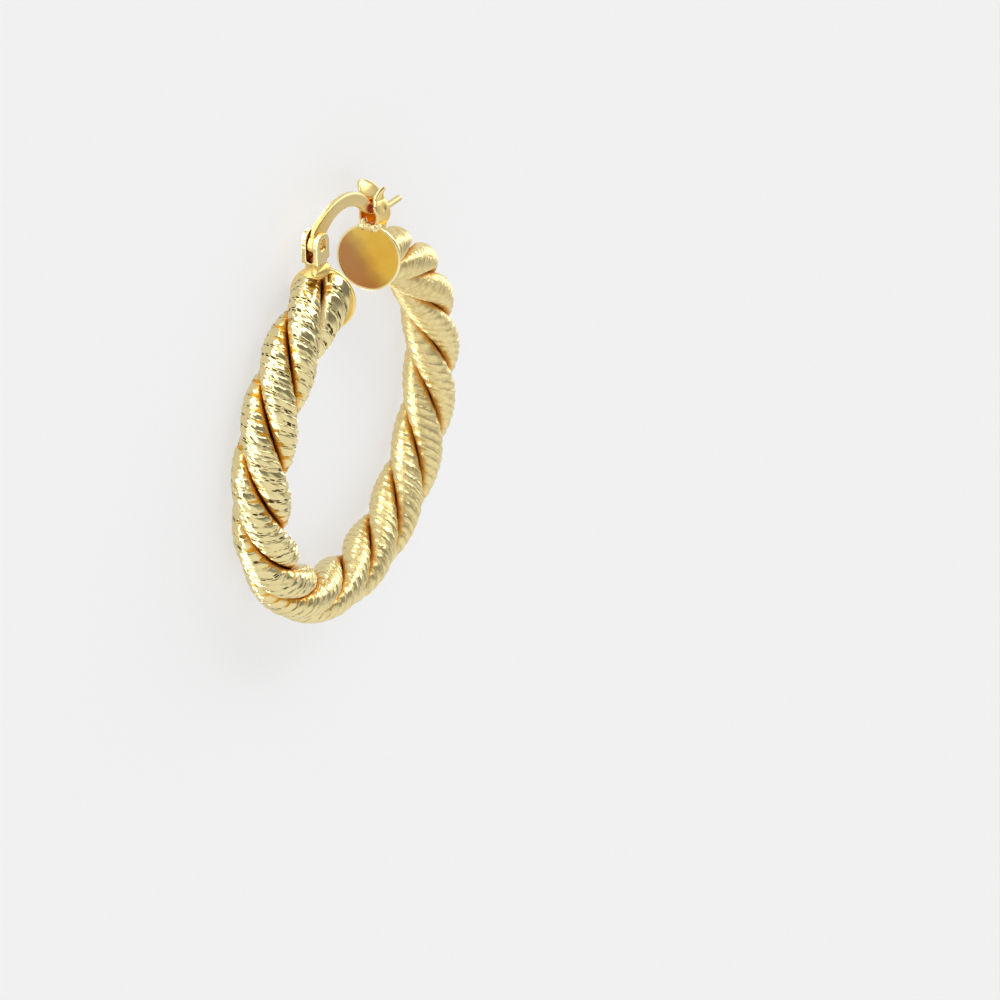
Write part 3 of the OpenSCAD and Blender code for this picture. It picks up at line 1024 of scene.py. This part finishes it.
# The solder at the foot of the catch: a slab, and the middle and radii of each lump on it
SOLDER_SLAB = [(-1.2, 2.62), (1.0, 2.62), (1.0, 3.12), (-1.2, 3.12)]
SOLDER_HALF = 0.7
SOLDER_LUMPS = [
    ((-1.0, 2.98, -0.6), (0.5, 0.42, 0.45)),
    ((-1.0, 2.98, 0.0), (0.5, 0.42, 0.45)),
    ((-1.0, 2.98, 0.6), (0.5, 0.42, 0.45)),
    ((-1.05, 3.3, -0.55), (0.42, 0.5, 0.3)),
    ((-0.95, 3.1, 0.95), (0.4, 0.34, 0.2)),
]
SOLDER_VOXEL = 0.05
SOLDER_RELAX = 3
# How rough it is: how close the waves of noise lie, and how far they move the skin. The seed
# is set because noise_vector would otherwise change from run to run
SOLDER_NOISE = [(4.5, 0.05), (9.0, 0.02)]
SOLDER_SEED = 1


def wall_z(h):
    """Distance of a wall's middle from the middle plane, at a height above the rope."""
    if h < THROAT_H:
        part = max(0.0, (h - FLOOR_H) / (THROAT_H - FLOOR_H))
        return FLOOR_Z + (THROAT_Z - FLOOR_Z) * part + WALL_BULGE * math.sin(math.pi * part)
    return THROAT_Z + LIP_FLARE * ((h - THROAT_H) / (LIP_H - THROAT_H)) ** LIP_FLARE_POWER


def wall(front, back, side):
    """One sprung wall of the catch, as a stack of rounded slices that are slightly cupped."""
    tip = front[-1][0]
    heights = [*np.linspace(WALL_FOOT, tip - 0.12, 60), *np.linspace(tip - 0.1, tip, 6)]
    rings, inner = [], []
    for h in heights:
        high, low = np.interp(h, *zip(*front)), np.interp(h, *zip(*back))
        wide, mid = max(high - low, 0.1), (high + low) / 2
        z = wall_z(h)
        rise = (wall_z(h + 0.02) - wall_z(h - 0.02)) / 0.04
        square = 1 / math.hypot(1, rise)
        taper = min(1.0, 0.35 + (tip - h) / 0.3)
        corner = 0.1 * taper
        half_w, half_t = wide / 2 - corner, SHEET_T * taper / 2 - corner
        flat = np.linspace(1, -1, 15)[1:-1] * half_w
        section = arc(half_w, half_t, corner, 0, 90, 4)
        section += [(u, half_t + corner) for u in flat]
        section += arc(-half_w, half_t, corner, 90, 180, 4)
        section += arc(-half_w, -half_t, corner, 180, 270, 4)
        section += [(u, -half_t - corner) for u in flat[::-1]]
        section += arc(half_w, -half_t, corner, 270, 360, 4)
        # Slices lie square to the bent sheet, so its thickness stays the same
        ring, marks = [], []
        for u, t in section:
            cup = LIP_CUP * (2 * u / wide) ** 2 * float(ramp(h, CUP_FROM, CUP_OVER))
            dent = 0.0
            if side > 0:
                apart = (h - DIMPLE_H) ** 2 + (mid + u - DIMPLE_U) ** 2
                dent = DIMPLE_D * math.exp(-apart / DIMPLE_R ** 2)
            t_in = t - cup - dent
            ring.append((-(mid + u), h - t_in * rise * square, side * (z + t_in * square)))
            marks.append(np.clip(-t / half_t, 0, 1) * ramp(-h, -INNER_TO, INNER_FADE))
        rings.append(ring)
        inner.append(marks)
    verts, faces = tube(np.array(rings), flip=side > 0)
    return verts, faces, np.array(inner)


def catch_metal():
    """Bright gold, deep orange inside the catch, where the light goes from wall to wall."""
    mat, tones = metal("catch_gold", CATCH_GOLD, 0.16, grain=0.2, grain_mm=0.15, cloud=0.06)
    tree = mat.node_tree
    colour = mix(tree, attribute(tree, "inner"), tones, CATCH_DEEP)
    feed(tree, "Base Color", colour)
    feed(tree, "Specular Tint", colour)
    return mat


def make_catch():
    place = on_rope(CATCH_AT)
    gold = catch_metal()
    for name, front, back, side in (
        ("catch_far_wall", FAR_FRONT, FAR_BACK, -1),
        ("catch_near_wall", NEAR_FRONT, NEAR_BACK, 1),
    ):
        verts, faces, inner = wall(front, back, side)
        obj = piece(name, verts, faces, "hoop", ["catch_end"], gold, place)
        mark_points(obj, "inner", inner)
    parts = [slab(SOLDER_SLAB, -SOLDER_HALF, SOLDER_HALF)]
    parts += [ball(middle, radii) for middle, radii in SOLDER_LUMPS]
    solder = soften(
        "catch_solder", parts, SOLDER_VOXEL, SOLDER_RELAX,
        "hoop", ["catch_end"], SOLDER_GOLD, place,
    )
    noise.seed_set(SOLDER_SEED)
    for v in solder.data.vertices:
        spot = v.co / MM
        for waves, depth in SOLDER_NOISE:
            v.co += noise.noise_vector(spot * waves) * depth * MM


make_catch()


# The floor, the light and the camera

# The floor is a sheet of white acrylic that is lit from below, as on a light table
FLOOR_HALF = 3.0
FLOOR_WHITE = 0.3
FLOOR_ROUGH = 0.9
FLOOR_GLOW = 0.6

# The camera that was fitted to the photograph: where it stands in the part's frame, and
# its right, up and backward directions
CAMERA_AT = (-0.22467, 0.15839, 0.13218)
CAMERA_RIGHT = (0.45271, 0.00213, 0.89165)
CAMERA_UP = (0.48700, 0.83708, -0.24925)
CAMERA_BACK = (-0.74692, 0.54707, 0.37792)
CAMERA_LENS = 120.06

# The tent of light: radiance by height in the picture, from straight down to straight up
TENT = [
    (-1.0, 0.95),
    (-0.4, 0.95),
    (-0.15, 0.7),
    (0.05, 0.36),
    (0.4, 0.29),
    (0.55, 0.55),
    (0.64, 3.6),
    (0.73, 3.6),
    (0.81, 0.95),
    (1.0, 0.6),
]
# Behind the picture the tent is paler, from the bottom to the top, and palest above
BEHIND_FROM = (0.1, 0.6)
BEHIND_LEVEL = (-0.15, 0.25, 0.68, 0.9)
BEHIND_TOP = (0.18, 0.36, 0.0, 2.0)

# Cards of light that lie on the light table, a little way off the rope: one inside the
# hoop, and one beside it. Only the metal reflects them. Radii in millimetres, and angles
# round the hoop as for the rope
CARDS = [("card_in", 6.0, 11.6, 205.0, 335.0), ("card_out", 20.4, 75.0, 0.0, 128.0)]
CARD_POINTS = 97
CARD_LIFT = 0.05
CARD_PATCH = 3.5
CARD_EDGE = (0.46, 0.56)
CARD_LIGHT = (0.6, 5.0)


def lit_material(name, colour, strength):
    """A surface that gives its own white light, and the shader's inputs."""
    mat = bpy.data.materials.new(name)
    mat.use_nodes = True
    inputs = mat.node_tree.nodes["Principled BSDF"].inputs
    inputs["Base Color"].default_value = (colour, colour, colour, 1)
    inputs["Emission Color"].default_value = (1, 1, 1, 1)
    inputs["Emission Strength"].default_value = strength
    return mat, inputs


def stage_sheet(name, verts, faces, mat):
    """A flat sheet that is part of the stage."""
    mesh = bpy.data.meshes.new(name)
    mesh.from_pydata(verts, [], faces)
    mesh.materials.append(mat)
    obj = bpy.data.objects.new(name, mesh)
    bpy.context.scene.collection.objects.link(obj)
    return obj


def make_floor():
    mat, inputs = lit_material("floor_white", FLOOR_WHITE, FLOOR_GLOW)
    inputs["Roughness"].default_value = FLOOR_ROUGH
    inputs["Specular IOR Level"].default_value = 0.0
    low, high = -FLOOR_HALF, FLOOR_HALF
    corners = [(low, low, 0), (high, low, 0), (high, high, 0), (low, high, 0)]
    stage_sheet("floor", corners, [(0, 1, 2, 3)], mat)


def make_camera():
    data = bpy.data.cameras.new("camera")
    data.lens = CAMERA_LENS
    data.sensor_width = 36.0
    data.clip_start = 0.01
    data.clip_end = 20.0
    obj = bpy.data.objects.new("camera", data)
    axes = Matrix((CAMERA_RIGHT, CAMERA_UP, CAMERA_BACK)).transposed().to_4x4()
    obj.matrix_world = Matrix.Translation(CAMERA_AT) @ axes
    bpy.context.scene.collection.objects.link(obj)
    bpy.context.scene.camera = obj


def make_cards():
    mat, _ = lit_material("card_light", 0, 1.0)
    patches = noise_on_part(mat.node_tree, CARD_PATCH)
    light = smooth_step(mat.node_tree, patches, *CARD_EDGE, *CARD_LIGHT)
    feed(mat.node_tree, "Emission Strength", light)
    faces = [tuple(int(i) for i in f[::-1]) for f in grid_faces(2, CARD_POINTS, wrap=False)]
    for name, inner, outer, start, end in CARDS:
        verts = [
            (-r * math.sin(t) * MM, (r * math.cos(t) + CENTRE_Y) * MM, CARD_LIFT * MM)
            for r in (inner, outer)
            for t in np.radians(np.linspace(start, end, CARD_POINTS))
        ]
        card = stage_sheet(name, verts, faces, mat)
        card.visible_camera = False
        card.visible_diffuse = False
        card.visible_shadow = False


def tent_curve(tree, height):
    """The tent's light at a height between -1 and 1."""
    node = tree.nodes.new("ShaderNodeFloatCurve")
    points = node.mapping.curves[0].points
    top = max(level for _, level in TENT)
    spots = [((at + 1) / 2, level / top) for at, level in TENT]
    points[0].location, points[-1].location = spots[0], spots[-1]
    for spot in spots[1:-1]:
        points.new(*spot)
    node.mapping.update()
    tree.links.new(maths(tree, "MULTIPLY_ADD", height, 0.5, 0.5), node.inputs["Value"])
    return maths(tree, "MULTIPLY", node.outputs["Value"], top)


def make_light():
    """A pale tent of light, bright above and below the picture and darker between."""
    world = bpy.data.worlds.new("tent")
    bpy.context.scene.world = world
    world.use_nodes = True
    tree = world.node_tree
    way = tree.nodes.new("ShaderNodeTexCoord").outputs["Generated"]
    height = vectors(tree, "DOT_PRODUCT", way, CAMERA_UP)
    depth = vectors(tree, "DOT_PRODUCT", way, [-axis for axis in CAMERA_BACK])
    level = smooth_step(tree, height, *BEHIND_LEVEL)
    level = maths(tree, "ADD", level, smooth_step(tree, height, *BEHIND_TOP))
    behind = maths(tree, "MULTIPLY", smooth_step(tree, depth, *BEHIND_FROM), level)
    light = maths(tree, "MAXIMUM", tent_curve(tree, height), behind)
    inputs = tree.nodes["Background"].inputs
    inputs["Color"].default_value = (1, 1, 1, 1)
    tree.links.new(light, inputs["Strength"])


make_floor()
make_camera()
make_light()
make_cards()
bpy.context.scene.view_settings.view_transform = "Standard"
